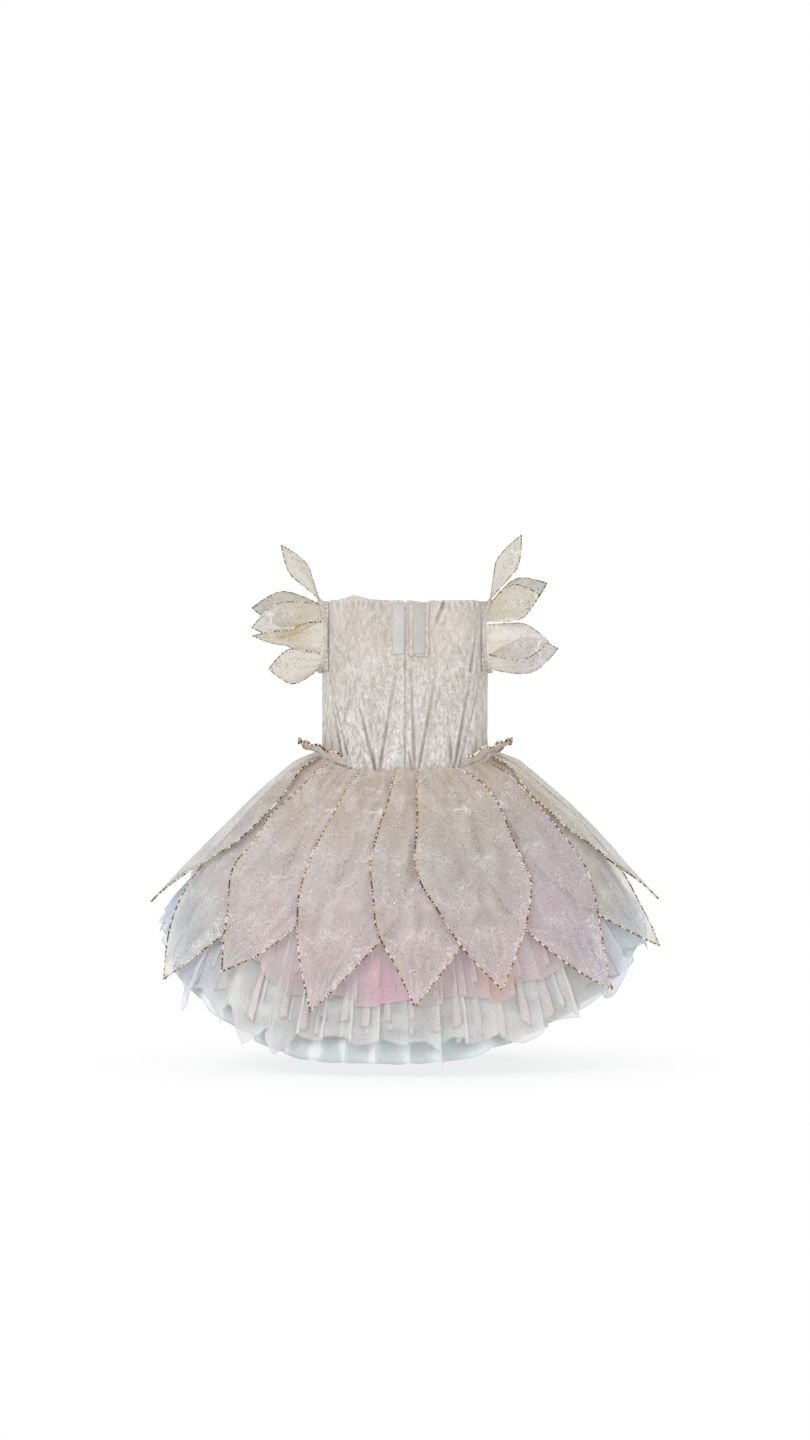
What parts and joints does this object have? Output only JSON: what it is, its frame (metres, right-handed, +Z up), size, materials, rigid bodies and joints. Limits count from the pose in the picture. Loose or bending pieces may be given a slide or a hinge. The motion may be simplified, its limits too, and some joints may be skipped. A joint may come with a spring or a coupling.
{
  "type": "fairy costume dress",
  "caption": "Child's fairy costume dress with a fitted velvet bodice, petal cap sleeves, a layered petal skirt over net petticoats, and hook and loop tapes at the back for wings.",
  "frame": {"origin": "centre of the waist opening, where the dress is held by its wearer", "axes": "+Z up, +Y the way the wearer faces, +X the wearer's right when seen from the back"},
  "size_m": [0.8148, 0.4903, 0.8463],
  "materials": {
    "velvet": "crushed velvet with a silvery sheen",
    "lining": "plain white lining",
    "elastic": "woven elastic and tape",
    "loop_tape": "soft brushed loop tape",
    "hook_tape": "stiff moulded hook tape",
    "satin": "white satin",
    "white_net": "fine soft net",
    "pink_net": "fine soft net",
    "organza": "sheer organza with glitter",
    "gold_cord": "metallic gold cord"
  },
  "bodies": {
    "dress": {"bodice_front": "velvet", "bodice_side_left": "velvet", "bodice_side_right": "velvet", "bodice_back_left": "velvet", "bodice_back_right": "velvet", "bodice_lining": "lining", "neck_elastic": "elastic", "waist_stay": "elastic", "loop_tape": "loop_tape", "sleeve_band_left": "velvet", "sleeve_band_right": "velvet", "satin_underskirt": "satin", "white_net": "white_net", "pink_net": "pink_net", "hip_fold_left": "organza", "hip_fold_right": "organza"},
    "closure_flap": {"placket_flap": "velvet", "hook_tape": "hook_tape"},
    "skirt_petal_back": {"petal_back": "organza", "cord_back": "gold_cord"},
    "skirt_petal_left_1": {"petal_left_1": "organza", "cord_left_1": "gold_cord"},
    "skirt_petal_left_2": {"petal_left_2": "organza", "cord_left_2": "gold_cord"},
    "skirt_petal_left_3": {"petal_left_3": "organza", "cord_left_3": "gold_cord"},
    "skirt_petal_left_4": {"petal_left_4": "organza", "cord_left_4": "gold_cord"},
    "skirt_petal_right_1": {"petal_right_1": "organza", "cord_right_1": "gold_cord"},
    "skirt_petal_right_2": {"petal_right_2": "organza", "cord_right_2": "gold_cord"},
    "skirt_petal_right_3": {"petal_right_3": "organza", "cord_right_3": "gold_cord"},
    "skirt_petal_right_4": {"petal_right_4": "organza", "cord_right_4": "gold_cord"},
    "skirt_petal_front_1": {"petal_front_1": "organza", "cord_front_1": "gold_cord"},
    "skirt_petal_front_2": {"petal_front_2": "organza", "cord_front_2": "gold_cord"},
    "skirt_petal_front_3": {"petal_front_3": "organza", "cord_front_3": "gold_cord"},
    "skirt_petal_front_4": {"petal_front_4": "organza", "cord_front_4": "gold_cord"},
    "skirt_petal_front_5": {"petal_front_5": "organza", "cord_front_5": "gold_cord"},
    "sleeve_right_1": {"sleeve_petal_right_1": "organza"},
    "sleeve_right_2": {"sleeve_petal_right_2": "organza"},
    "sleeve_right_3": {"sleeve_petal_right_3": "organza"},
    "sleeve_right_4": {"sleeve_petal_right_4": "organza"},
    "sleeve_right_5": {"sleeve_petal_right_5": "organza"},
    "sleeve_left_1": {"sleeve_petal_left_1": "organza"},
    "sleeve_left_2": {"sleeve_petal_left_2": "organza"},
    "sleeve_left_3": {"sleeve_petal_left_3": "organza"},
    "sleeve_left_4": {"sleeve_petal_left_4": "organza"},
    "sleeve_left_5": {"sleeve_petal_left_5": "organza"}
  },
  "joints": [
    {"name": "closure_flap_fold", "type": "hinge", "parent": "dress", "child": "closure_flap", "pos_m": [0.006, -0.0524, 0.216], "axis": [0, 0, -1], "range_deg": [0, 180]},
    {"name": "back_petal_flare", "type": "hinge", "parent": "dress", "child": "skirt_petal_back", "pos_m": [0.02139, -0.06114, -0.00648], "axis": [-0.9999, 0.0105, 0], "range_deg": [0, 18]},
    {"name": "left_1_petal_flare", "type": "hinge", "parent": "dress", "child": "skirt_petal_left_1", "pos_m": [-0.03513, -0.0593, -0.00742], "axis": [-0.9781, 0.2079, 0], "range_deg": [0, 17.46]},
    {"name": "left_2_petal_flare", "type": "hinge", "parent": "dress", "child": "skirt_petal_left_2", "pos_m": [-0.08603, -0.05576, -0.00481], "axis": [-0.831, 0.5563, 0], "range_deg": [0, 11.52]},
    {"name": "left_3_petal_flare", "type": "hinge", "parent": "dress", "child": "skirt_petal_left_3", "pos_m": [-0.12378, -0.03717, 0.00888], "axis": [-0.4399, 0.898, 0], "range_deg": [0, 12.06]},
    {"name": "left_4_petal_flare", "type": "hinge", "parent": "dress", "child": "skirt_petal_left_4", "pos_m": [-0.14032, 0, 0.02174], "axis": [0.014, 0.9999, 0], "range_deg": [0, 12.6]},
    {"name": "right_1_petal_flare", "type": "hinge", "parent": "dress", "child": "skirt_petal_right_1", "pos_m": [0.05401, -0.06148, -0.00524], "axis": [-0.9993, -0.0384, 0], "range_deg": [0, 17.46]},
    {"name": "right_2_petal_flare", "type": "hinge", "parent": "dress", "child": "skirt_petal_right_2", "pos_m": [0.09557, -0.05583, -0.00177], "axis": [-0.7782, -0.628, 0], "range_deg": [0, 13.14]},
    {"name": "right_3_petal_flare", "type": "hinge", "parent": "dress", "child": "skirt_petal_right_3", "pos_m": [0.12719, -0.03503, 0.01154], "axis": [-0.3843, -0.9232, 0], "range_deg": [0, 13.68]},
    {"name": "right_4_petal_flare", "type": "hinge", "parent": "dress", "child": "skirt_petal_right_4", "pos_m": [0.14145, 0, 0.02319], "axis": [-0.0262, -0.9997, 0], "range_deg": [0, 15.84]},
    {"name": "front_1_petal_flare", "type": "hinge", "parent": "dress", "child": "skirt_petal_front_1", "pos_m": [0.11332, 0.04752, 0.00396], "axis": [0.5807, -0.8141, 0], "range_deg": [0, 14.58]},
    {"name": "front_2_petal_flare", "type": "hinge", "parent": "dress", "child": "skirt_petal_front_2", "pos_m": [0.05782, 0.05849, -0.00701], "axis": [0.9699, -0.2436, 0], "range_deg": [0, 16.56]},
    {"name": "front_3_petal_flare", "type": "hinge", "parent": "dress", "child": "skirt_petal_front_3", "pos_m": [0, 0.06134, -0.00648], "axis": [1, 0, 0], "range_deg": [0, 17.1]},
    {"name": "front_4_petal_flare", "type": "hinge", "parent": "dress", "child": "skirt_petal_front_4", "pos_m": [-0.05782, 0.05849, -0.00701], "axis": [0.9664, 0.2571, 0], "range_deg": [0, 16.56]},
    {"name": "front_5_petal_flare", "type": "hinge", "parent": "dress", "child": "skirt_petal_front_5", "pos_m": [-0.11332, 0.04752, 0.00396], "axis": [0.7193, 0.6947, 0], "range_deg": [0, 9]},
    {"name": "sleeve_right_1_bend", "type": "hinge", "parent": "dress", "child": "sleeve_right_1", "pos_m": [0.13791, 0, 0.26629], "axis": [0, -1, 0], "range_deg": [-4, 30], "stiffness_Nm_per_rad": 0.02},
    {"name": "sleeve_right_2_bend", "type": "hinge", "parent": "dress", "child": "sleeve_right_2", "pos_m": [0.13353, -0.02659, 0.24539], "axis": [0, -0.6157, -0.788], "range_deg": [-4, 30], "stiffness_Nm_per_rad": 0.02},
    {"name": "sleeve_right_3_bend", "type": "hinge", "parent": "dress", "child": "sleeve_right_3", "pos_m": [0.13079, -0.03019, 0.19677], "axis": [0, 0.1045, -0.9945], "range_deg": [-4, 30], "stiffness_Nm_per_rad": 0.02},
    {"name": "sleeve_right_4_bend", "type": "hinge", "parent": "dress", "child": "sleeve_right_4", "pos_m": [0.13586, -0.02023, 0.16174], "axis": [0, 0.766, -0.6428], "range_deg": [-4, 14], "stiffness_Nm_per_rad": 0.02},
    {"name": "sleeve_right_5_bend", "type": "hinge", "parent": "dress", "child": "sleeve_right_5", "pos_m": [0.13343, 0.02646, 0.24718], "axis": [0, -0.6428, 0.766], "range_deg": [-4, 30], "stiffness_Nm_per_rad": 0.02},
    {"name": "sleeve_left_1_bend", "type": "hinge", "parent": "dress", "child": "sleeve_left_1", "pos_m": [-0.13856, 0, 0.26594], "axis": [0, 1, 0], "range_deg": [-4, 30], "stiffness_Nm_per_rad": 0.02},
    {"name": "sleeve_left_2_bend", "type": "hinge", "parent": "dress", "child": "sleeve_left_2", "pos_m": [-0.13452, -0.02258, 0.24563], "axis": [0, 0.6691, 0.7431], "range_deg": [-4, 16], "stiffness_Nm_per_rad": 0.02},
    {"name": "sleeve_left_3_bend", "type": "hinge", "parent": "dress", "child": "sleeve_left_3", "pos_m": [-0.13067, -0.03064, 0.20215], "axis": [0, -0.0349, 0.9994], "range_deg": [-4, 14], "stiffness_Nm_per_rad": 0.02},
    {"name": "sleeve_left_4_bend", "type": "hinge", "parent": "dress", "child": "sleeve_left_4", "pos_m": [-0.13532, -0.02298, 0.16239], "axis": [0, -0.7193, 0.6947], "range_deg": [-4, 30], "stiffness_Nm_per_rad": 0.02},
    {"name": "sleeve_left_5_bend", "type": "hinge", "parent": "dress", "child": "sleeve_left_5", "pos_m": [-0.13506, 0.02329, 0.24807], "axis": [0, 0.6947, -0.7193], "range_deg": [-4, 30], "stiffness_Nm_per_rad": 0.02}
  ],
  "couplings": [
    {"joint": "left_1_petal_flare", "follows": "back_petal_flare", "ratio": 0.97},
    {"joint": "left_2_petal_flare", "follows": "back_petal_flare", "ratio": 0.64},
    {"joint": "left_3_petal_flare", "follows": "back_petal_flare", "ratio": 0.67},
    {"joint": "left_4_petal_flare", "follows": "back_petal_flare", "ratio": 0.7},
    {"joint": "right_1_petal_flare", "follows": "back_petal_flare", "ratio": 0.97},
    {"joint": "right_2_petal_flare", "follows": "back_petal_flare", "ratio": 0.73},
    {"joint": "right_3_petal_flare", "follows": "back_petal_flare", "ratio": 0.76},
    {"joint": "right_4_petal_flare", "follows": "back_petal_flare", "ratio": 0.88},
    {"joint": "front_1_petal_flare", "follows": "back_petal_flare", "ratio": 0.81},
    {"joint": "front_2_petal_flare", "follows": "back_petal_flare", "ratio": 0.92},
    {"joint": "front_3_petal_flare", "follows": "back_petal_flare", "ratio": 0.95},
    {"joint": "front_4_petal_flare", "follows": "back_petal_flare", "ratio": 0.92},
    {"joint": "front_5_petal_flare", "follows": "back_petal_flare", "ratio": 0.5}
  ]
}
